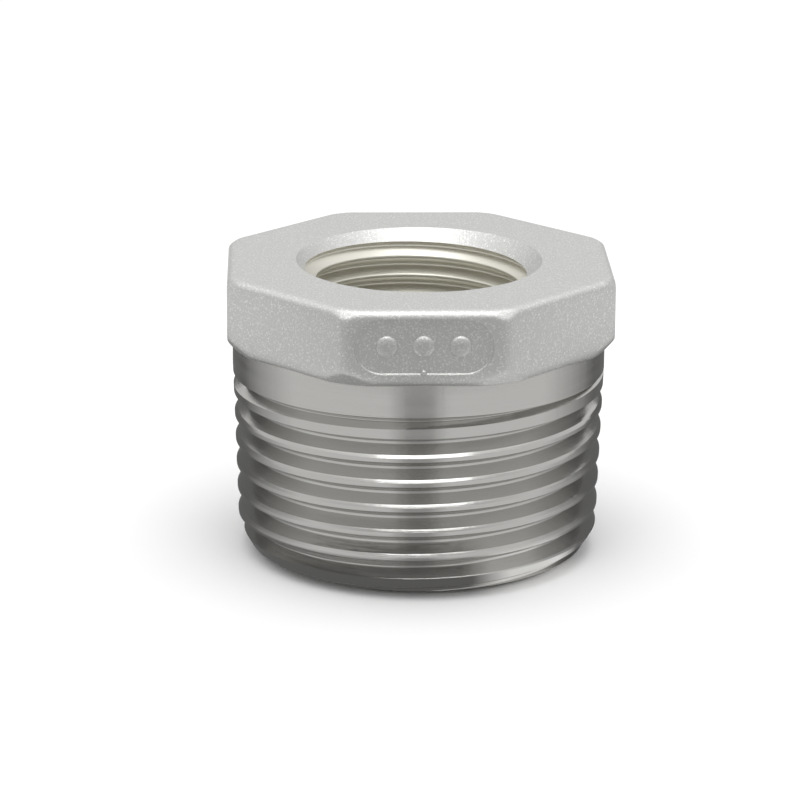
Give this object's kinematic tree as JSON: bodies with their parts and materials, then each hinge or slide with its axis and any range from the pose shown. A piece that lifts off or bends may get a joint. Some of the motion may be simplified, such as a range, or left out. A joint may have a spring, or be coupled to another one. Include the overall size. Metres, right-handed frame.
{
  "type": "reducing bushing",
  "caption": "Octagon-headed cast steel reducing bushing: a taper pipe thread outside below a plain collar, and a smaller threaded bore through the head and shank.",
  "frame": {"origin": "centre of the male end face, at the bottom of the fitting's box", "axes": "+Z along the bore axis from the male end to the head; two of the head's flats face -Y and +Y"},
  "size_m": [0.0344, 0.0344, 0.027],
  "materials": {
    "stainless_steel": "blasted casting on the head, bright turned metal on the collar, the thread and the bore"
  },
  "bodies": {
    "root": {"bushing": "stainless_steel"}
  },
  "joints": []
}
